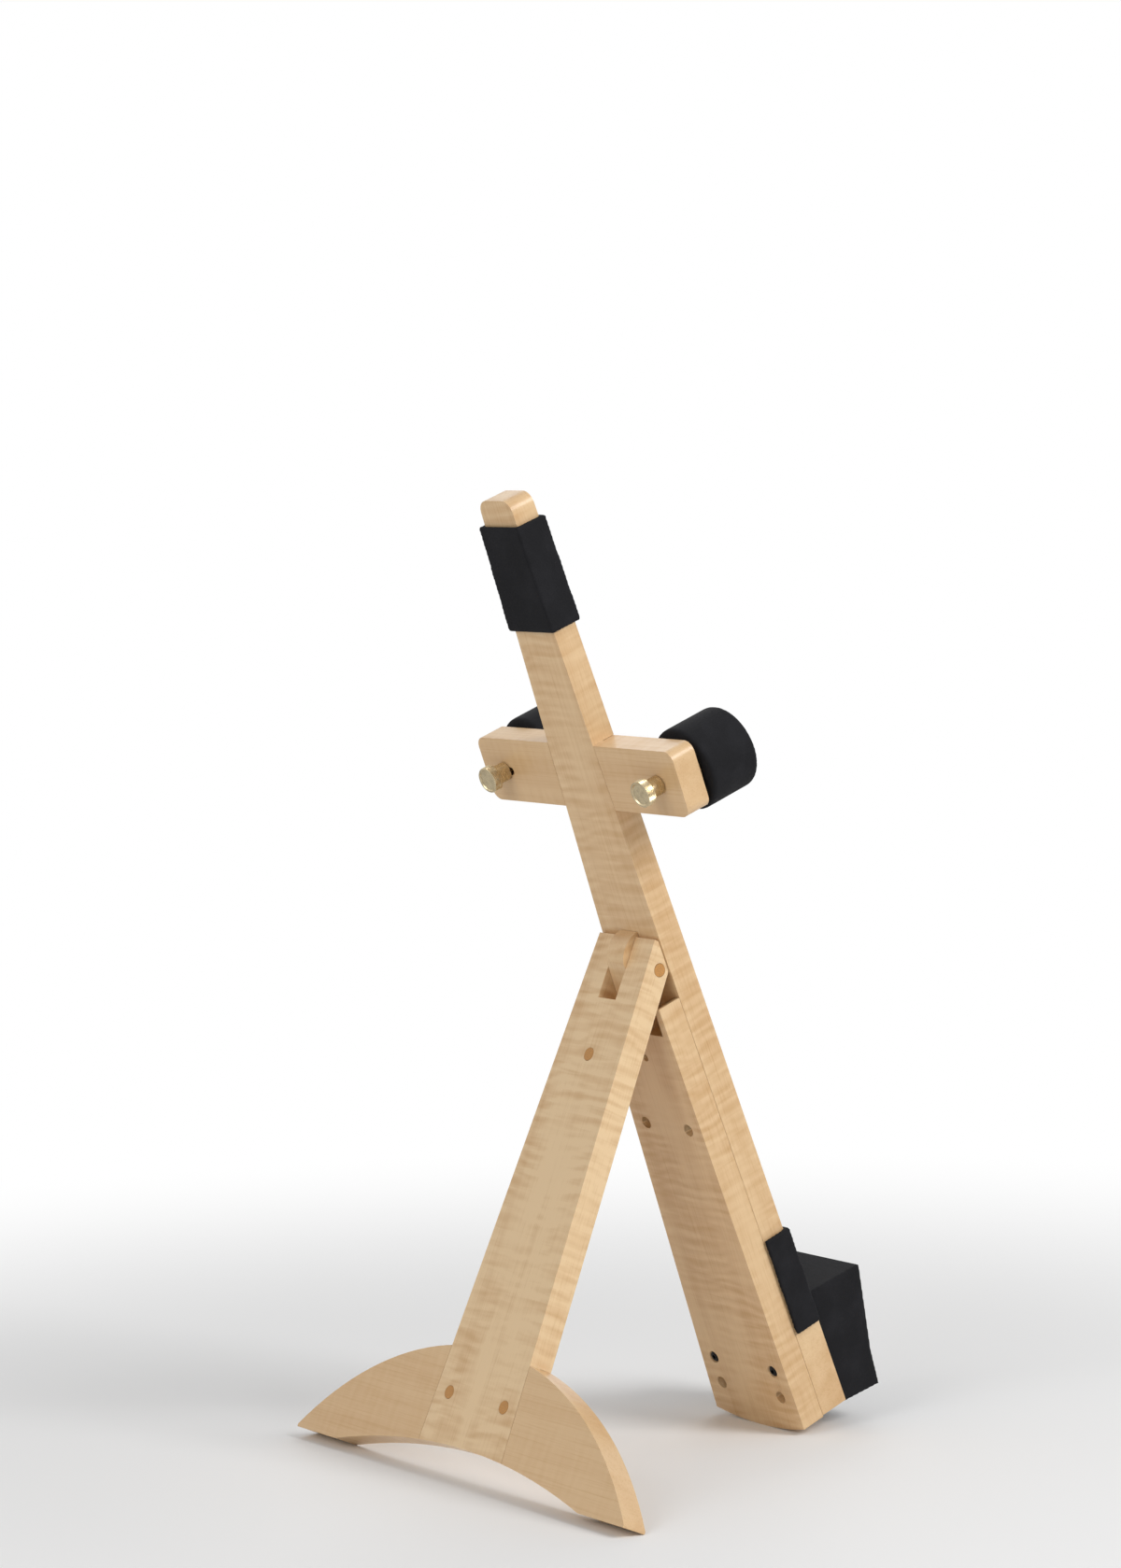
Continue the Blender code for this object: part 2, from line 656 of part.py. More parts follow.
def make_foot(leg_axis):
    """Arched foot, notched at the back for the leg."""
    back = BOARD - LEG_FRONT
    swing = math.asin(FOOT_HALF / FOOT_ARC_RADIUS)
    top = arc((0, -FOOT_ARC_CENTRE), FOOT_ARC_RADIUS, math.pi / 2 - swing, math.pi / 2 + swing, 2 * ARC_STEPS)
    arch = list(reversed(arch_outline()))
    outline = top + [(-FOOT_HALF, -FOOT_DROP)] + arch + [(FOOT_HALF, -FOOT_DROP)]
    bm = plate(outline, -LEG_FRONT, back)

    def wanted(point):
        middle_y = (back - LEG_FRONT) / 2
        on_face = abs(point.y - middle_y) > BOARD / 2 - EASE
        arc_height = math.hypot(point.x, point.z + FOOT_ARC_CENTRE)
        on_top = arc_height > FOOT_ARC_RADIUS - EASE and abs(point.x) < FOOT_HALF - 2 * PLUG_RADIUS
        return on_face and on_top

    ease_edges(bm, wanted)
    foot = add_piece("foot", bm, MAPLE, leg_axis)
    lap_y = (back - LEG_FRONT) / 2
    heights = (-FOOT_DROP - MARGIN, -FOOT_ARC_CENTRE + FOOT_ARC_RADIUS + MARGIN)
    lap = mirrored([(leg_half(-z) + FIT, z) for z in heights])
    cut(foot, "foot_lap", plate(lap, lap_y, back + MARGIN))
    for side in (-1, 1):
        pilot = rod(SCREW_SHANK + FIT, lap_y - FOOT_SCREW_BITE - FIT, lap_y + MARGIN)
        cut(foot, "foot_pilot_" + side_name(side), pilot, (side * FOOT_PLUG_X, 0, -FOOT_PLUG_DROP))
    return foot


def make_foot_fastenings(leg, leg_axis, back, lap_y):
    """Two screws through the lap, each under a dowel plug."""
    plug_floor = back - PLUG_DEPTH
    for side in (-1, 1):
        label = side_name(side)
        place = (side * FOOT_PLUG_X, 0, -FOOT_PLUG_DROP)
        seat = plug_floor - FIT - SCREW_HEAD_HEIGHT
        profile = (
            (0, lap_y - MARGIN), (SCREW_SHANK + FIT, lap_y - MARGIN), (SCREW_SHANK + FIT, seat - FIT),
            (PLUG_RADIUS + FIT, seat - FIT), (PLUG_RADIUS + FIT, back + MARGIN), (0, back + MARGIN),
        )
        cut(leg, "leg_foot_hole_" + label, turned(profile, SMALL_STEPS), place)
        screw = wood_screw(seat, lap_y - FOOT_SCREW_BITE)
        add_piece("foot_screw_" + label, screw, BLACK_STEEL, leg_axis, place)
        add_piece("foot_plug_" + label, rod(PLUG_RADIUS, plug_floor, back), WALNUT, leg_axis, place)


def make_pad(stand, side):
    """Side pad: a turned post in a foam cylinder, clamped by a knurled thumbscrew."""
    label = side_name(side)
    axis = add_axis("pad_axis_" + label, stand, (side * PAD_X, 0, PAD_Z))
    near = -BOARD - FIT
    post = add_piece("pad_post_" + label, rod(POST_RADIUS, -POST_END, near, ROUND_STEPS), MAPLE, axis)
    insert_outer = STUD_RADIUS + FIT + INSERT_WALL
    bore = turned((
        (0, -STUD_REACH - FIT), (STUD_RADIUS + FIT, -STUD_REACH - FIT),
        (STUD_RADIUS + FIT, near - PAD_INSERT_LENGTH - FIT),
        (insert_outer + FIT, near - PAD_INSERT_LENGTH - FIT),
        (insert_outer + FIT, near + MARGIN), (0, near + MARGIN),
    ), SMALL_STEPS)
    cut(post, "pad_post_bore_" + label, bore)
    insert = tube(STUD_RADIUS + FIT, insert_outer, near - PAD_INSERT_LENGTH, near)
    add_piece("pad_insert_" + label, insert, BRASS, axis)

    inner = POST_RADIUS + FIT
    far_round = arc((FOAM_RADIUS - FOAM_ROUND, -FOAM_FAR + FOAM_ROUND), FOAM_ROUND, -math.pi / 2, 0, 3)
    near_round = arc((FOAM_RADIUS - FOAM_ROUND, -FOAM_NEAR - FOAM_ROUND), FOAM_ROUND, 0, math.pi / 2, 3)
    profile = [(inner, -FOAM_FAR)] + far_round + near_round + [(inner, -FOAM_NEAR)]
    add_piece("pad_foam_" + label, turned(profile, ROUND_STEPS, ring=True), FOAM, axis)

    knob_front = FIT + NECK_LENGTH
    knob_back = knob_front + KNOB_LENGTH
    screw = turned((
        (0, -STUD_REACH), (STUD_RADIUS, -STUD_REACH), (STUD_RADIUS, FIT), (NECK_RADIUS, FIT),
        (NECK_RADIUS, knob_front), (KNOB_RADIUS - KNOB_CHAMFER, knob_front),
        (KNOB_RADIUS, knob_front + KNOB_CHAMFER), (KNOB_RADIUS, knob_back - KNOB_CHAMFER),
        (KNOB_RADIUS - KNOB_CHAMFER, knob_back), (0, knob_back),
    ), ROUND_STEPS)
    add_piece("thumbscrew_" + label, screw, BRASS, axis)


def recline():
    """Tilt at which the backing board's heel and the foot's front edge stand level."""
    heel_y = BOARD
    heel_z = BACKING_CORNER - BACKING_BELLY
    toe_y = PIN_OUT - LEG_FRONT * math.cos(LEG_ANGLE) + FOOT_DROP * math.sin(LEG_ANGLE)
    toe_z = PIN_HEIGHT - LEG_FRONT * math.sin(LEG_ANGLE) - FOOT_DROP * math.cos(LEG_ANGLE)
    return math.atan2(toe_z - heel_z, toe_y - heel_y)


def set_down(stand):
    """Move the stand so that the middle of its floor area is the origin."""
    bpy.context.view_layer.update()
    graph = bpy.context.evaluated_depsgraph_get()
    low = Vector((math.inf,) * 3)
    high = Vector((-math.inf,) * 3)
    for piece in bpy.context.scene.objects:
        if piece.type != "MESH" or piece.hide_render:
            continue
        shape = piece.evaluated_get(graph)
        for vertex in shape.to_mesh().vertices:
            point = shape.matrix_world @ vertex.co
            low = Vector(map(min, low, point))
            high = Vector(map(max, high, point))
        shape.to_mesh_clear()
    stand.location -= Vector(((low.x + high.x) / 2, (low.y + high.y) / 2, low.z))


def main():
    """Clear the scene and build the stand."""
    for old in list(bpy.data.objects):
        bpy.data.objects.remove(old, do_unlink=True)
    stand = add_axis("stand_frame", None, (0, 0, 0), -recline())
    make_spine(stand)
    make_cross_arm(stand)
    make_backing(stand)
    make_block(stand)
    make_ledge(stand)
    make_sleeves(stand)
    make_backing_screws(stand)
    leg_axis = add_axis("leg_axis", stand, (0, PIN_OUT, PIN_HEIGHT), LEG_ANGLE)
    make_leg(leg_axis)
    make_foot(leg_axis)
    add_piece("hinge_pin", cross_rod(PIN_RADIUS, LEG_HALF), WALNUT, leg_axis)
    for side in (-1, 1):
        make_pad(stand, side)
    set_down(stand)


if __name__ == "__main__":
    main()
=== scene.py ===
"""Dressed model of a reclining maple floor stand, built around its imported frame."""

import json
import math

import bmesh
import bpy
from bpy.props import FloatProperty, FloatVectorProperty, IntProperty, PointerProperty
from mathutils import Matrix, Vector


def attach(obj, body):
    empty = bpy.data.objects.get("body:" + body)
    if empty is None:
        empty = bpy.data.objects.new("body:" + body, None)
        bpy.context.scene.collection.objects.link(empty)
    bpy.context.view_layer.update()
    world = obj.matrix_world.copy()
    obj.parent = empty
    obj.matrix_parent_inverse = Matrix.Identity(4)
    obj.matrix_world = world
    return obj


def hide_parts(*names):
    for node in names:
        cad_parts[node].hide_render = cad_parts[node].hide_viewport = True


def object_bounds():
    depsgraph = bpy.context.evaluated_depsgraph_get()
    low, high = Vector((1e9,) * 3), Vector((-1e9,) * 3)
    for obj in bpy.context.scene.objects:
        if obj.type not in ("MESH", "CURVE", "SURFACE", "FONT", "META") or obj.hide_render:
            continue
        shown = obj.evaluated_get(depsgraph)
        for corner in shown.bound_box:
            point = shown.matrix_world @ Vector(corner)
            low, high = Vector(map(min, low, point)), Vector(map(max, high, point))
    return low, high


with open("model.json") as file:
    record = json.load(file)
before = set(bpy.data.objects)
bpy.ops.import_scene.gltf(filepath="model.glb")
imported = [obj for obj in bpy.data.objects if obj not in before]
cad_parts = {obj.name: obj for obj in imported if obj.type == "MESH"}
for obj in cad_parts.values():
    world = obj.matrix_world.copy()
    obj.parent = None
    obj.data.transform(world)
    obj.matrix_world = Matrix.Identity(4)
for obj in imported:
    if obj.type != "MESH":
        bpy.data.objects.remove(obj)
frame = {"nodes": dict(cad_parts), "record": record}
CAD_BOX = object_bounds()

bl_info = {
    "name": "Maple Floor Stand",
    "version": (1, 0, 0),
    "blender": (4, 5, 0),
    "location": "3D View > Sidebar > Stand",
    "description": "Dresses the stand's boards, foam, thumbscrews and fasteners",
    "category": "Object",
}

JOINTS = {joint["name"]: joint for joint in frame["record"]["behaviour"]["joints"]}
SIDES = ("left", "right")

# The upright's frame: X across, Y out of its back, Z up along it
BOARD_NORMAL = Vector(JOINTS["knob_left_turn"]["axis"])
RECLINE = math.atan2(-BOARD_NORMAL.z, BOARD_NORMAL.y)
LEG_ANGLE = math.radians(44.5)      # between the leg and the upright
PAD_HEIGHT = 0.5073                 # of the thumbscrews, up the upright
KNOB_PLACE = Vector(JOINTS["knob_left_turn"]["pos_m"])
TO_WORLD = Matrix.Rotation(-RECLINE, 4, "X")
UPRIGHT_FOOT = Vector((0, KNOB_PLACE.y, KNOB_PLACE.z)) - TO_WORLD @ Vector((0, 0, PAD_HEIGHT))
UPRIGHT = Matrix.Translation(UPRIGHT_FOOT) @ TO_WORLD

# Wooden pieces: node, body, direction of the grain, a shift that gives each its own figure,
# how much deeper its colour is and how strong its bands are
BOARDS = (
    ("spine", "stand", "up", 0.00, 0.06, 0.42),
    ("cross_arm", "stand", "across", 0.37, 0.26, 0.10),
    ("backing_board", "stand", "up", 0.81, 0.08, 0.48),
    ("shelf_block", "stand", "across", 1.23, 0.04, 0.42),
    ("ledge_core", "stand", "across", 1.61, 0.06, 0.20),
    ("leg", "back_leg", "leg", 2.09, -0.22, 0.64),
    ("foot", "back_leg", "across_leg", 2.57, 0.30, 0.09),
    ("pad_post_left", "pad_left", "out", 3.01, 0.10, 0.15),
    ("pad_post_right", "pad_right", "out", 3.47, 0.10, 0.15),
)
PLUGS = ("hinge_pin", "leg_plug", "foot_plug_left", "foot_plug_right")
SOFT = (
    ("upper_sleeve", "stand"),
    ("lower_sleeve", "stand"),
    ("ledge_cover", "stand"),
    ("pad_foam_left", "pad_left"),
    ("pad_foam_right", "pad_right"),
)
STEEL = (
    "board_screw_left", "board_screw_right", "block_screw_left", "block_screw_right",
    "ledge_bolt_left", "ledge_bolt_right", "foot_screw_left", "foot_screw_right",
)
INSERTS = ("ledge_insert_left", "ledge_insert_right", "pad_insert_left", "pad_insert_right")

# Patterns in the maple: repeats per metre along the grain, across it and through the board
RINGS = (1.6, 34.0, 34.0)
PORES = (14.0, 900.0, 900.0)
SWAY = (26.0, 20.0, 22.0)
PATCHES = (9.0, 26.0, 26.0)
STREAKS_ACROSS = 16.0
STREAKS_PER_BAND = 1.5
PATCH_SHIFT = 3                     # patches are shifted this many times as far as the rest

# Values of each pattern between which it comes in
RING_EDGES = (0.35, 0.70)
PORE_EDGES = (0.45, 0.75)
STREAK_EDGES = (0.34, 0.66)
PATCH_EDGES = (0.22, 0.56)

BAND_SWAY = 17.0                    # radians that the sway moves a band
BAND_LEAN = 45.0                    # radians that a band moves over a metre across the board
BAND_PART = 0.20                    # half the regular bands' share of the figure
STREAK_PART = 0.60                  # the irregular streaks' share
RING_DEPTH = 0.26                   # how far the rings darken the wood
PORE_DEPTH = 0.24
CURL_DULLS = 0.10                   # roughness that the figure and the pores add
PORES_DULL = 0.08
PORE_RELIEF = 0.7

COAT_ROUGHNESS = 0.18
SMOOTH_ANGLE = math.radians(50)     # edges sharper than this stay sharp
FLAT_ANGLE = math.radians(0.5)      # faces closer to one plane than this become one
MERGE = 0.00001


class StandSettings(bpy.types.PropertyGroup):
    """Sizes and colours that a user may change."""

    maple_light: FloatVectorProperty(
        name="Maple, light", description="Pale wood between the bands of figure",
        subtype="COLOR", size=3, min=0, max=1, default=(0.800, 0.580, 0.335),
    )
    maple_dark: FloatVectorProperty(
        name="Maple, dark", description="Darker bands and pores of the maple",
        subtype="COLOR", size=3, min=0, max=1, default=(0.540, 0.300, 0.120),
    )
    walnut: FloatVectorProperty(
        name="Plugs", description="End grain of the dowel plugs and the hinge pin",
        subtype="COLOR", size=3, min=0, max=1, default=(0.420, 0.200, 0.052),
    )
    foam: FloatVectorProperty(
        name="Foam", description="Black foam of the sleeves, shelf and pads",
        subtype="COLOR", size=3, min=0, max=1, default=(0.0075, 0.0075, 0.0090),
    )
    brass: FloatVectorProperty(
        name="Brass", description="Polished brass of the thumbscrews",
        subtype="COLOR", size=3, min=0, max=1, default=(0.640, 0.530, 0.340),
    )
    curl_pitch: FloatProperty(
        name="Curl pitch", description="Distance between the bands of curly figure",
        subtype="DISTANCE", unit="LENGTH", default=0.0085, min=0.002, max=0.05,
    )
    foam_grid: FloatProperty(
        name="Foam grid", description="Mesh size of the foam pieces",
        subtype="DISTANCE", unit="LENGTH", default=0.0013, min=0.0006, max=0.01,
    )
    knob_radius: FloatProperty(
        name="Knob radius", description="Radius of a thumbscrew's head under its ridges",
        subtype="DISTANCE", unit="LENGTH", default=0.0094, min=0.004, max=0.02,
    )
    knob_start: FloatProperty(
        name="Knob start", description="Near face of the head above the wood",
        subtype="DISTANCE", unit="LENGTH", default=0.0110, min=0.004, max=0.03,
    )
    knob_length: FloatProperty(
        name="Knob length", description="Thickness of a thumbscrew's head",
        subtype="DISTANCE", unit="LENGTH", default=0.0072, min=0.002, max=0.02,
    )
    neck_radius: FloatProperty(
        name="Neck radius", description="Radius of the smooth neck under the head",
        subtype="DISTANCE", unit="LENGTH", default=0.0070, min=0.002, max=0.015,
    )
    ridges: IntProperty(
        name="Ridges", description="Number of knurled ridges round the head",
        default=72, min=12, max=200,
    )
    lens: FloatProperty(
        name="Lens", description="Focal length of the camera in millimetres",
        default=98.0, min=20, max=300,
    )


def settings():
    """The stand's settings on the current scene."""
    return bpy.context.scene.stand_settings


class Signal:
    """A shader socket that can be used in arithmetic."""

    def __init__(self, graph, socket):
        self.graph = graph
        self.socket = socket

    def __add__(self, other):
        return self.graph.math("ADD", self, other)

    def __sub__(self, other):
        return self.graph.math("SUBTRACT", self, other)

    def __mul__(self, other):
        return self.graph.math("MULTIPLY", self, other)

    def __truediv__(self, other):
        return self.graph.math("DIVIDE", self, other)

    def __pow__(self, other):
        return self.graph.math("POWER", self, other)

    def __rsub__(self, other):
        return self.graph.math("SUBTRACT", other, self)

    def __rtruediv__(self, other):
        return self.graph.math("DIVIDE", other, self)

    __radd__ = __add__
    __rmul__ = __mul__


class Graph:
    """A node tree of a shader or of geometry."""

    def __init__(self, tree):
        self.tree = tree

    def node(self, kind, inputs=None, output=0, **choices):
        """Output of a new node whose settings are made first and whose sockets come next."""
        made = self.tree.nodes.new(kind)
        for name, value in choices.items():
            setattr(made, name, value)
        for name, value in (inputs or {}).items():
            self.feed(made.inputs[name], value)
        return Signal(self, made.outputs[output])

    def feed(self, socket, value):
        """Link a signal to a socket, or set its value."""
        if isinstance(value, Signal):
            self.tree.links.new(value.socket, socket)
        else:
            socket.default_value = value

    def math(self, operation, a, b=0.0):
        """One Math node."""
        return self.node("ShaderNodeMath", {0: a, 1: b}, operation=operation)

    def blend(self, factor, first, second):
        """Mix of two colours."""
        return self.node("ShaderNodeMix", {0: factor, 6: first, 7: second}, output=2, data_type="RGBA")

    def place(self):
        """Coordinates on the object."""
        return self.node("ShaderNodeTexCoord", output="Object")

    def vector(self, x=0.0, y=0.0, z=0.0):
        """Vector of three values."""
        return self.node("ShaderNodeCombineXYZ", {"X": x, "Y": y, "Z": z})

    def noise(self, vector, scale=1.0, detail=2.0, roughness=0.5, distortion=0.0):
        """Value of a noise pattern."""
        values = {"Vector": vector, "Scale": scale, "Detail": detail, "Roughness": roughness}
        values["Distortion"] = distortion
        return self.node("ShaderNodeTexNoise", values)

    def ramp(self, value, low, high):
        """Value eased from 0 at low to 1 at high."""
        values = {"Value": value, "From Min": low, "From Max": high}
        return self.node("ShaderNodeMapRange", values, interpolation_type="SMOOTHSTEP")


def new_material(
    name, look, roughness, metallic=0.0, bump=None, depth=0.0, coat=0.0, shine=0.5,
):
    """Material whose colour, added roughness and height come from a function of its graph."""
    material = bpy.data.materials.new(name)
    material.use_nodes = True
    graph = Graph(material.node_tree)
    shader = material.node_tree.nodes["Principled BSDF"]
    shader.inputs["Metallic"].default_value = metallic
    shader.inputs["Coat Weight"].default_value = coat
    shader.inputs["Coat Roughness"].default_value = COAT_ROUGHNESS
    shader.inputs["Specular IOR Level"].default_value = shine
    colour, rough, height = look(graph)
    graph.feed(shader.inputs["Base Color"], colour)
    graph.feed(shader.inputs["Roughness"], roughness + rough)
    if bump:
        values = {"Height": height, "Strength": bump, "Distance": depth}
        graph.feed(shader.inputs["Normal"], graph.node("ShaderNodeBump", values))
    return material


def turned_axes(graph, turn):
    """The three coordinates on the object, turned about X."""
    turned = graph.node("ShaderNodeMapping", {"Vector": graph.place(), "Rotation": (turn, 0, 0)})
    parts = graph.tree.nodes.new("ShaderNodeSeparateXYZ")
    graph.feed(parts.inputs[0], turned)
    return [Signal(graph, socket) for socket in parts.outputs]


def board_axes(graph, grain):
    """Coordinates along the grain, across it and through the board."""
    turn = RECLINE - LEG_ANGLE if grain in ("leg", "across_leg") else RECLINE
    x, y, z = turned_axes(graph, turn)
    if grain in ("across", "across_leg"):
        return x, z, y
    if grain == "out":
        return y, x, z
    return z, x, y


def maple(name, grain, shift, deeper, figure):
    """Curly maple: long pores, slow growth rings and soft bands across the grain."""
    options = settings()

    def look(graph):
        along, across, through = board_axes(graph, grain)

        def stretched(repeats, moved=shift):
            return graph.vector(
                along * repeats[0] + moved, across * repeats[1], through * repeats[2],
            )

        rings = graph.noise(stretched(RINGS), detail=3.0, roughness=0.55, distortion=0.6)
        pores = graph.noise(stretched(PORES), detail=4.0, roughness=0.6)
        sway = graph.noise(stretched(SWAY))
        bands = along * (2 * math.pi / options.curl_pitch) + sway * BAND_SWAY + across * BAND_LEAN
        thin = graph.vector(
            along * (STREAKS_PER_BAND / options.curl_pitch),
            across * STREAKS_ACROSS + shift,
            through * STREAKS_ACROSS,
        )
        streaks = graph.noise(thin, distortion=0.3)
        wave = graph.math("SINE", bands) * BAND_PART + BAND_PART
        wave = wave + graph.ramp(streaks, *STREAK_EDGES) * STREAK_PART
        patches = graph.noise(stretched(PATCHES, shift * PATCH_SHIFT))
        curl = wave * graph.ramp(patches, *PATCH_EDGES)
        tone = curl * figure + graph.ramp(rings, *RING_EDGES) * RING_DEPTH + deeper
        tone = tone + graph.ramp(pores, *PORE_EDGES) * PORE_DEPTH
        colour = graph.blend(tone, (*options.maple_light, 1), (*options.maple_dark, 1))
        dull = curl * CURL_DULLS + pores * PORES_DULL
        return colour, dull, pores * PORE_RELIEF + curl * figure

    return new_material(name, look, roughness=0.30, bump=0.25, depth=0.0002, coat=0.12)


def plug_wood():
    """Brown end grain of the plugs and the pin."""
    options = settings()
    lighter = 1.5
    pore_part = 0.6
    pore_dulls = 0.15

    def look(graph):
        place = graph.place()
        pores = graph.noise(place, scale=1500.0, detail=3.0, roughness=0.6)
        rings = graph.noise(place, scale=260.0)
        pale = tuple(value * lighter for value in options.walnut)
        tone = graph.ramp(pores, low=0.4, high=0.7) * pore_part + rings * (1 - pore_part)
        colour = graph.blend(tone, (*options.walnut, 1), (*pale, 1))
        return colour, pores * pore_dulls, pores

    return new_material("plug_end_grain", look, roughness=0.38, bump=0.2, depth=0.0002)


def black_foam():
    """Closed-cell foam: matte, with a fine pebbled skin and soft cloudy wear."""
    options = settings()
    lighter = 1.8
    haze = 0.002
    wear_part = 0.7
    cloud_dulls = 0.10
    cell_relief = 0.8
    grit_relief = 0.4

    def look(graph):
        place = graph.place()
        pebbles = {"Vector": place, "Scale": 950.0}
        cells = graph.node("ShaderNodeTexVoronoi", pebbles, feature="F1")
        cloud = graph.noise(place, scale=42.0, detail=4.0, roughness=0.6)
        grit = graph.noise(place, scale=2300.0)
        worn = tuple(value * lighter + haze for value in options.foam)
        wear = graph.ramp(cloud, low=0.38, high=0.72) * wear_part
        colour = graph.blend(wear, (*options.foam, 1), (*worn, 1))
        return colour, cloud * cloud_dulls, cells * cell_relief + grit * grit_relief

    return new_material("black_foam", look, roughness=0.80, bump=0.45, depth=0.0003, shine=0.2)


def turned_brass():
    """Brass turned on a lathe, with fine rings about the screw's axis."""
    options = settings()
    centre = Matrix.Rotation(RECLINE, 3, "X") @ KNOB_PLACE
    ring_turn = 9000.0          # radians per metre of radius
    smear_repeats = 900.0
    darker = 0.62
    tarnish_part = 0.6
    smear_dulls = 0.16
    tarnish_dulls = 0.06
    half = 0.5

    def look(graph):
        x, y, z = turned_axes(graph, RECLINE)
        from_axis_x = graph.math("ABSOLUTE", x) - centre.x
        from_axis_z = z - centre.z
        radius = graph.math("SQRT", from_axis_x * from_axis_x + from_axis_z * from_axis_z)
        rings = graph.math("SINE", radius * ring_turn) * half + half
        turned = graph.vector(radius * smear_repeats, y * smear_repeats)
        smear = graph.noise(turned, detail=3.0)
        tarnish = graph.noise(graph.place(), scale=330.0, detail=3.0)
        deep = tuple(value * darker for value in options.brass)
        tone = graph.ramp(tarnish, low=0.35, high=0.8) * tarnish_part
        colour = graph.blend(tone, (*options.brass, 1), (*deep, 1))
        dull = smear * smear_dulls + tarnish * tarnish_dulls
        return colour, dull, rings * half + smear * half

    return new_material(
        "turned_brass", look, roughness=0.17, metallic=1.0, bump=0.12, depth=0.00012,
    )


def black_steel():
    """Black oxide on the screws, a little worn."""
    oxide = (0.016, 0.016, 0.017, 1)
    bare = (0.07, 0.068, 0.065, 1)
    wear_dulls = 0.2

    def look(graph):
        wear = graph.noise(graph.place(), scale=700.0, detail=4.0, roughness=0.6)
        colour = graph.blend(graph.ramp(wear, low=0.5, high=0.8), oxide, bare)
        return colour, wear * wear_dulls, wear

    return new_material(
        "black_oxide_steel", look, roughness=0.30, metallic=0.9, bump=0.1, depth=0.0001,
    )


def link(name, mesh, material):
    """Object of a finished mesh in the scene, with its material."""
    piece = bpy.data.objects.new(name, mesh)
    bpy.context.scene.collection.objects.link(piece)
    mesh.materials.clear()
    mesh.materials.append(material)
    return piece


def merged_copy(node, name):
    """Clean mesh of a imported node: its loose triangles joined and its flat faces made whole."""
    source = frame["nodes"][node]
    bm = bmesh.new()
    bm.from_mesh(source.data)
    bm.transform(source.matrix_world)
    bmesh.ops.remove_doubles(bm, verts=bm.verts, dist=MERGE)
    bmesh.ops.dissolve_limit(bm, angle_limit=FLAT_ANGLE, verts=bm.verts, edges=bm.edges)
    bmesh.ops.recalc_face_normals(bm, faces=bm.faces)
    mesh = bpy.data.meshes.new(name)
    bm.to_mesh(mesh)
    bm.free()
    mesh.shade_smooth()
    mesh.set_sharp_from_angle(angle=SMOOTH_ANGLE)
    return mesh


def baked_mesh(piece, name):
    """Plain mesh of an object with its modifiers applied; the object goes."""
    graph = bpy.context.evaluated_depsgraph_get()
    mesh = bpy.data.meshes.new_from_object(piece.evaluated_get(graph), depsgraph=graph)
    mesh.name = name
    bpy.data.objects.remove(piece, do_unlink=True)
    return mesh


class STAND_OT_camera(bpy.types.Operator):
    """Place the camera behind and to one side of the stand"""

    bl_idname = "stand.camera"
    bl_label = "Camera"

    bearing = math.radians(55.62)       # round from the board normal
    elevation = math.radians(16.82)     # above the board normal
    roll = math.radians(-17.66)
    distance = 3.0404
    look_height = 0.400
    slide_right = -0.04533
    slide_up = 0.09321
    sensor = 36.0
    far_limit = 60.0

    def execute(self, context):
        """Aim in the upright's frame, then recline with it."""
        away = Vector((
            -math.sin(self.bearing) * math.cos(self.elevation),
            math.cos(self.bearing) * math.cos(self.elevation),
            math.sin(self.elevation),
        ))
        right = (-away).cross(Vector((0, 0, 1))).normalized()
        up = right.cross(-away)
        turned_right = right * math.cos(self.roll) + up * math.sin(self.roll)
        turned_up = up * math.cos(self.roll) - right * math.sin(self.roll)
        place = Vector((0, 0, self.look_height)) + away * self.distance
        place += turned_right * self.slide_right + turned_up * self.slide_up
        turn = Matrix((turned_right, turned_up, away)).transposed().to_4x4()
        data = bpy.data.cameras.new("camera")
        data.lens = settings().lens
        data.sensor_width = self.sensor
        data.clip_end = self.far_limit
        camera = bpy.data.objects.new("camera", data)
        context.scene.collection.objects.link(camera)
        camera.matrix_world = UPRIGHT @ Matrix.Translation(place) @ turn
        context.scene.camera = camera
        return {"FINISHED"}


class STAND_OT_boards(bpy.types.Operator):
    """Make the maple boards with soft edges and curly figure"""

    bl_idname = "stand.boards"
    bl_label = "Boards"

    def execute(self, context):
        """Replace each wooden node by a clean copy with weighted normals."""
        for node, body, grain, shift, deeper, figure in BOARDS:
            mesh = merged_copy(node, "wood_" + node)
            wood = maple("maple_" + node, grain, shift, deeper, figure)
            piece = link("wood_" + node, mesh, wood)
            weighted = piece.modifiers.new("soft_edges", "WEIGHTED_NORMAL")
            weighted.keep_sharp = True
            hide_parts(node)
            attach(piece, body)
        return {"FINISHED"}


class STAND_OT_foam(bpy.types.Operator):
    """Make the foam sleeves, the shelf's cover and the side pads"""

    bl_idname = "stand.foam"
    bl_label = "Foam"

    rounding = 0.5
    rounds = 4

    def execute(self, context):
        """Remesh each soft node finely and round its edges."""
        material = black_foam()
        for node, body in SOFT:
            name = "soft_" + node
            rough = link(name + "_rough", merged_copy(node, name), material)
            remesh = rough.modifiers.new("grid", "REMESH")
            remesh.mode = "VOXEL"
            remesh.voxel_size = settings().foam_grid
            remesh.use_smooth_shade = True
            smooth = rough.modifiers.new("round", "SMOOTH")
            smooth.factor = self.rounding
            smooth.iterations = self.rounds
            context.view_layer.update()
            mesh = baked_mesh(rough, name)
            mesh.shade_smooth()
            piece = link(name, mesh, material)
            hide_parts(node)
            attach(piece, body)
        return {"FINISHED"}


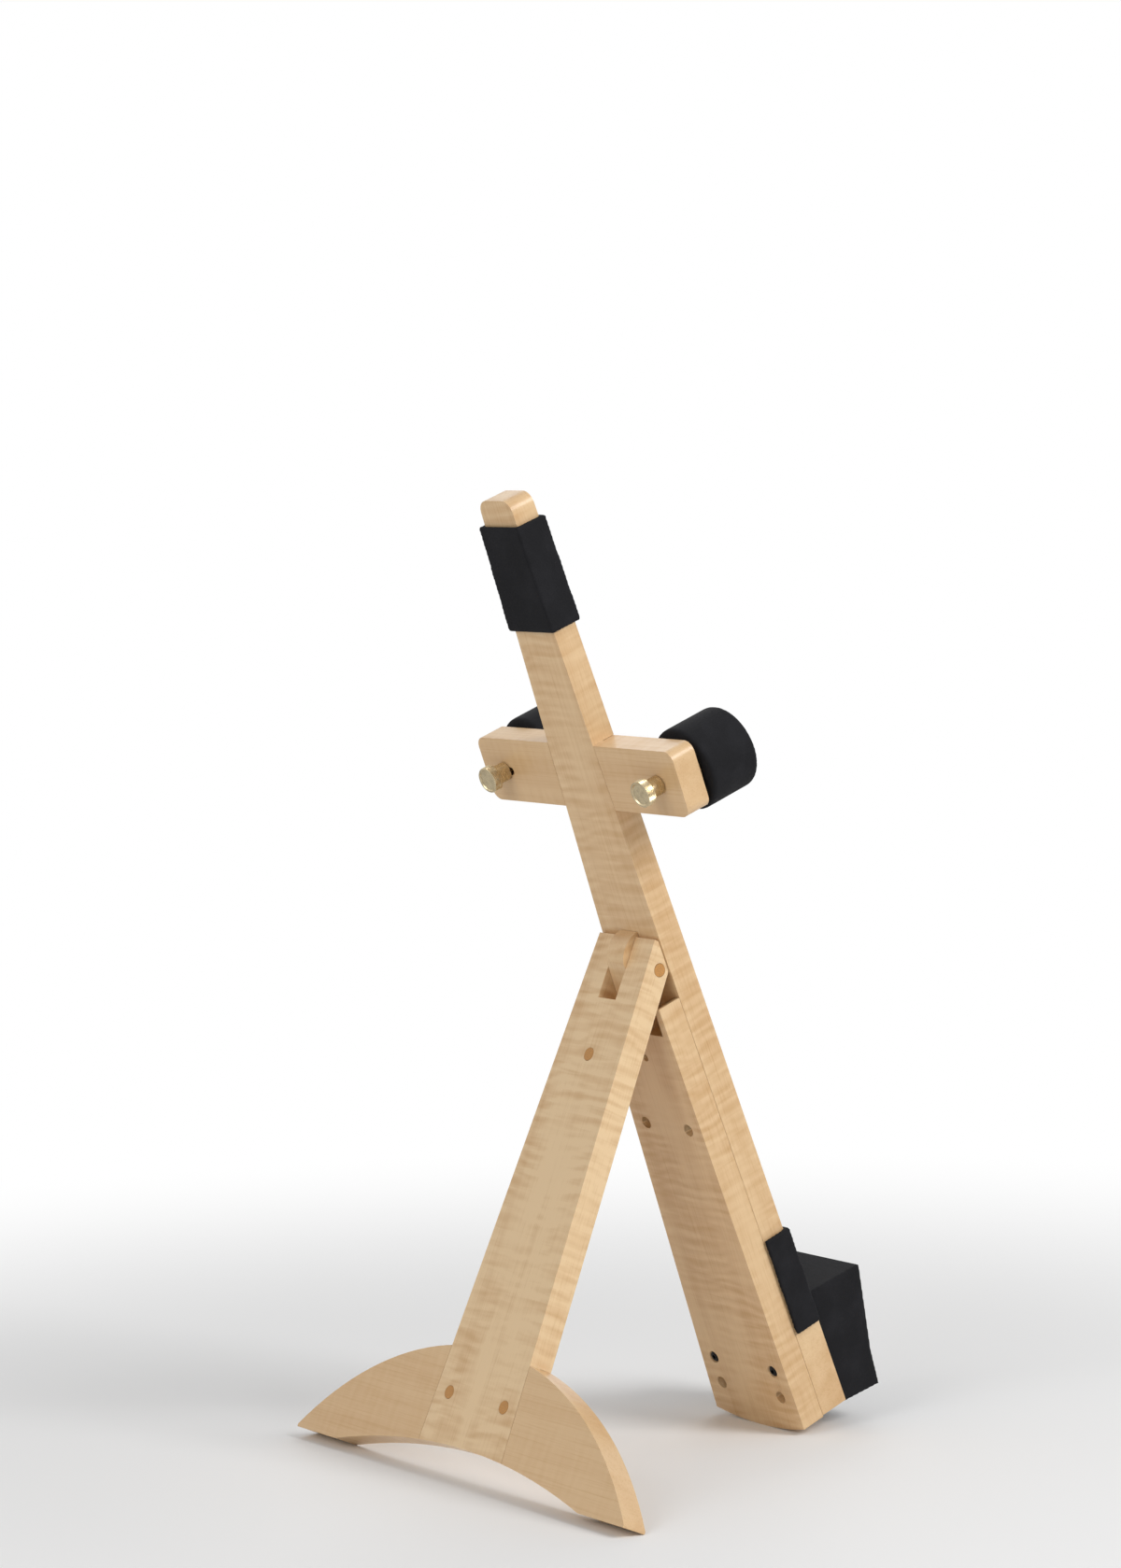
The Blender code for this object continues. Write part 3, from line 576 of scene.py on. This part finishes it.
def lathe(name, profile, steps):
    """Mesh turned about Z from (radius, z) pairs whose ends lie on the axis."""
    bm = bmesh.new()
    rows = []
    for radius, z in profile:
        count = steps if radius else 1
        angles = [2 * math.pi * i / count for i in range(count)]
        rows.append([bm.verts.new((radius * math.cos(a), radius * math.sin(a), z)) for a in angles])
    for first, second in zip(rows, rows[1:]):
        for i in range(steps):
            j = (i + 1) % steps
            near = (first[i % len(first)], first[j % len(first)])
            ring = (*near, second[j % len(second)], second[i % len(second)])
            bm.faces.new(list(dict.fromkeys(ring)))
    bmesh.ops.recalc_face_normals(bm, faces=bm.faces)
    mesh = bpy.data.meshes.new(name)
    bm.to_mesh(mesh)
    bm.free()
    return mesh


def knurl_tree(material):
    """Geometry nodes: small ridges set edge outwards round a circle."""
    tree = bpy.data.node_groups.new("knurled_ridges", "GeometryNodeTree")
    sizes = {}
    kinds = (("Radius", "Float"), ("Ridges", "Int"), ("Width", "Float"), ("Length", "Float"))
    for name, kind in kinds:
        socket_type = "NodeSocket" + kind
        sizes[name] = tree.interface.new_socket(name, in_out="INPUT", socket_type=socket_type)
    tree.interface.new_socket("Geometry", in_out="OUTPUT", socket_type="NodeSocketGeometry")
    graph = Graph(tree)
    group = tree.nodes.new("NodeGroupInput")
    given = {socket.name: Signal(graph, socket) for socket in group.outputs if socket.name}
    circle = {"Vertices": given["Ridges"], "Radius": given["Radius"]}
    points = graph.node("GeometryNodeMeshCircle", circle)
    across = given["Width"]
    box = graph.vector(across, across, given["Length"])
    cube = graph.node("GeometryNodeMeshCube", {"Size": box})
    edge_out = {"Geometry": cube, "Rotation": (0, 0, math.radians(45))}
    ridge = graph.node("GeometryNodeTransform", edge_out)
    index = graph.node("GeometryNodeInputIndex")
    angle = graph.math("DIVIDE", index * (2 * math.pi), given["Ridges"])
    turn = graph.vector(z=angle)
    values = {"Points": points, "Instance": ridge, "Rotation": turn}
    placed = graph.node("GeometryNodeInstanceOnPoints", values)
    real = graph.node("GeometryNodeRealizeInstances", {"Geometry": placed})
    done = graph.node("GeometryNodeSetMaterial", {"Geometry": real, "Material": material})
    out = tree.nodes.new("NodeGroupOutput")
    graph.feed(out.inputs["Geometry"], done)
    return tree, sizes


class STAND_OT_thumbscrews(bpy.types.Operator):
    """Make the brass thumbscrews with their knurled heads"""

    bl_idname = "stand.thumbscrews"
    bl_label = "Thumbscrews"

    steps = 96
    stud_radius = 0.0029
    stud_reach = 0.046
    lift = 0.0004               # of the neck above the wood
    neck_edge = 0.0004
    edge = 0.0006               # bevel round the head
    edge_round = 0.3            # how near the bevel's middle stays to the corner
    dish = 0.0007               # how far the head's face is turned in
    rim = 0.0014
    ridge_width = 0.00052
    ridge_sink = 0.25           # part of a ridge's width that goes into the head
    sharp = math.radians(28)

    def execute(self, context):
        """Turn each screw and set the ridges round its head."""
        options = settings()
        material = turned_brass()
        tree, sizes = knurl_tree(material)
        low = options.knob_start
        high = low + options.knob_length
        radius = options.knob_radius
        neck = options.neck_radius
        corner = self.edge * self.edge_round
        profile = (
            (0, -self.stud_reach), (self.stud_radius, -self.stud_reach),
            (self.stud_radius, self.lift), (neck - self.neck_edge, self.lift),
            (neck, self.lift + self.neck_edge), (neck, low - self.edge),
            (neck + self.edge, low), (radius - self.edge, low),
            (radius, low + self.edge), (radius, high - self.edge),
            (radius - corner, high - corner),
            (radius - self.edge, high), (radius - self.rim, high),
            (radius - self.rim - self.dish, high - self.dish), (0, high - self.dish),
        )
        for side in SIDES:
            place = Vector(JOINTS["knob_" + side + "_turn"]["pos_m"])
            turn = BOARD_NORMAL.to_track_quat("Z", "Y").to_matrix().to_4x4()
            aim = Matrix.Translation(place) @ turn
            mesh = lathe("brass_thumbscrew_" + side, profile, self.steps)
            mesh.transform(aim)
            mesh.shade_smooth()
            mesh.set_sharp_from_angle(angle=self.sharp)
            screw = link("brass_thumbscrew_" + side, mesh, material)
            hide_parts("thumbscrew_" + side)

            carrier = bpy.data.objects.new("ridges_rough", bpy.data.meshes.new("ridges_rough"))
            context.scene.collection.objects.link(carrier)
            nodes = carrier.modifiers.new("ridges", "NODES")
            nodes.node_group = tree
            nodes[sizes["Radius"].identifier] = radius - self.ridge_width * self.ridge_sink
            nodes[sizes["Ridges"].identifier] = options.ridges
            nodes[sizes["Width"].identifier] = self.ridge_width
            nodes[sizes["Length"].identifier] = options.knob_length - 2 * self.edge
            context.view_layer.update()
            ridges_mesh = baked_mesh(carrier, "brass_ridges_" + side)
            ridges_mesh.transform(aim @ Matrix.Translation((0, 0, (low + high) / 2)))
            ridges = link("brass_ridges_" + side, ridges_mesh, material)
            for piece in (screw, ridges):
                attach(piece, "knob_" + side)
        return {"FINISHED"}


class STAND_OT_fastenings(bpy.types.Operator):
    """Finish the plugs, the hinge pin, the screws and the threaded inserts"""

    bl_idname = "stand.fastenings"
    bl_label = "Fastenings"

    def execute(self, context):
        """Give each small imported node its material."""
        brass = bpy.data.materials["turned_brass"]
        for nodes, material in ((PLUGS, plug_wood()), (STEEL, black_steel()), (INSERTS, brass)):
            for node in nodes:
                for slot in frame["nodes"][node].material_slots:
                    slot.material = material
        return {"FINISHED"}


class STAND_OT_stage(bpy.types.Operator):
    """Add the pale floor, the lamps and the white surroundings"""

    bl_idname = "stand.stage"
    bl_label = "Stage"

    floor_half = 12.0
    floor_colour = (0.86, 0.86, 0.86, 1.0)
    white_from = 0.40           # the floor fades to white between these distances
    white_by = 1.30
    floor_roughness = 0.9
    ambient = 0.36              # strength of the surroundings' light on the stand
    # Each lamp's name, place, size in metres and power in watts
    lamps = (
        ("key", (-2.6, -0.9, 2.3), 1.6, 66.0),
        ("fill", (-0.6, 3.2, 2.0), 2.4, 34.0),
        ("front", (2.2, -2.4, 2.4), 2.4, 26.0),
    )

    def execute(self, context):
        """Floor, three soft lamps aimed at the stand, and the world."""
        half = self.floor_half
        corners = ((-half, -half, 0), (half, -half, 0), (half, half, 0), (-half, half, 0))
        mesh = bpy.data.meshes.new("floor")
        mesh.from_pydata(corners, [], [(0, 1, 2, 3)])
        floor = link("floor", mesh, self.floor_material())
        aim = Vector((0, 0, (CAD_BOX[0][2] + CAD_BOX[1][2]) / 2))
        for name, place, size, power in self.lamps:
            data = bpy.data.lights.new(name, "AREA")
            data.shape = "DISK"
            data.size = size
            data.energy = power
            lamp = bpy.data.objects.new(name, data)
            context.scene.collection.objects.link(lamp)
            lamp.location = place
            lamp.rotation_euler = (aim - Vector(place)).to_track_quat("-Z", "Y").to_euler()
        self.light_world(context.scene)
        context.scene.view_settings.view_transform = "Standard"
        return {"FINISHED"}

    def floor_material(self):
        """Matte pale floor that the camera sees fade to white far from the stand."""
        material = bpy.data.materials.new("pale_floor")
        material.use_nodes = True
        shader = material.node_tree.nodes["Principled BSDF"]
        shader.inputs["Base Color"].default_value = self.floor_colour
        shader.inputs["Roughness"].default_value = self.floor_roughness
        graph = Graph(material.node_tree)
        place = {0: graph.place()}
        distance = graph.node("ShaderNodeVectorMath", place, output="Value", operation="LENGTH")
        path = material.node_tree.nodes.new("ShaderNodeLightPath")
        seen = Signal(graph, path.outputs["Is Camera Ray"])
        far = graph.ramp(distance, self.white_from, self.white_by) * seen
        white = graph.node("ShaderNodeEmission", {"Color": (1, 1, 1, 1), "Strength": 1.0})
        values = {0: far, 1: Signal(graph, shader.outputs[0]), 2: white}
        surface = material.node_tree.nodes["Material Output"].inputs["Surface"]
        graph.feed(surface, graph.node("ShaderNodeMixShader", values))
        return material

    def light_world(self, scene):
        """White where it is seen directly or in metal, dimmer where it lights the stand."""
        world = bpy.data.worlds.new("studio")
        scene.world = world
        world.use_nodes = True
        graph = Graph(world.node_tree)
        back = world.node_tree.nodes["Background"]
        path = world.node_tree.nodes.new("ShaderNodeLightPath")
        rays = ("Is Camera Ray", "Is Glossy Ray", "Is Transmission Ray")
        seen = [Signal(graph, path.outputs[name]) for name in rays]
        shown = graph.math("MINIMUM", seen[0] + seen[1] + seen[2], 1.0)
        back.inputs["Color"].default_value = (1, 1, 1, 1)
        graph.feed(back.inputs["Strength"], shown * (1 - self.ambient) + self.ambient)


OPERATORS = (
    STAND_OT_camera, STAND_OT_boards, STAND_OT_foam, STAND_OT_thumbscrews,
    STAND_OT_fastenings, STAND_OT_stage,
)


class STAND_PT_panel(bpy.types.Panel):
    """Sizes, colours and steps of the stand"""

    bl_label = "Stand"
    bl_idname = "STAND_PT_panel"
    bl_space_type = "VIEW_3D"
    bl_region_type = "UI"
    bl_category = "Stand"

    def draw(self, context):
        """Settings first, then one button for each step."""
        options = context.scene.stand_settings
        for name in StandSettings.__annotations__:
            self.layout.prop(options, name)
        for operator in OPERATORS:
            self.layout.operator(operator.bl_idname)


CLASSES = (StandSettings, *OPERATORS, STAND_PT_panel)


def register():
    """Register the classes and the settings."""
    for item in CLASSES:
        bpy.utils.register_class(item)
    bpy.types.Scene.stand_settings = PointerProperty(type=StandSettings)


def unregister():
    """Remove the settings and the classes."""
    del bpy.types.Scene.stand_settings
    for item in reversed(CLASSES):
        bpy.utils.unregister_class(item)


def main():
    """Register, then run every step in order."""
    register()
    bpy.ops.stand.camera()
    bpy.ops.stand.boards()
    bpy.ops.stand.foam()
    bpy.ops.stand.thumbscrews()
    bpy.ops.stand.fastenings()
    bpy.ops.stand.stage()


if __name__ == "__main__":
    main()
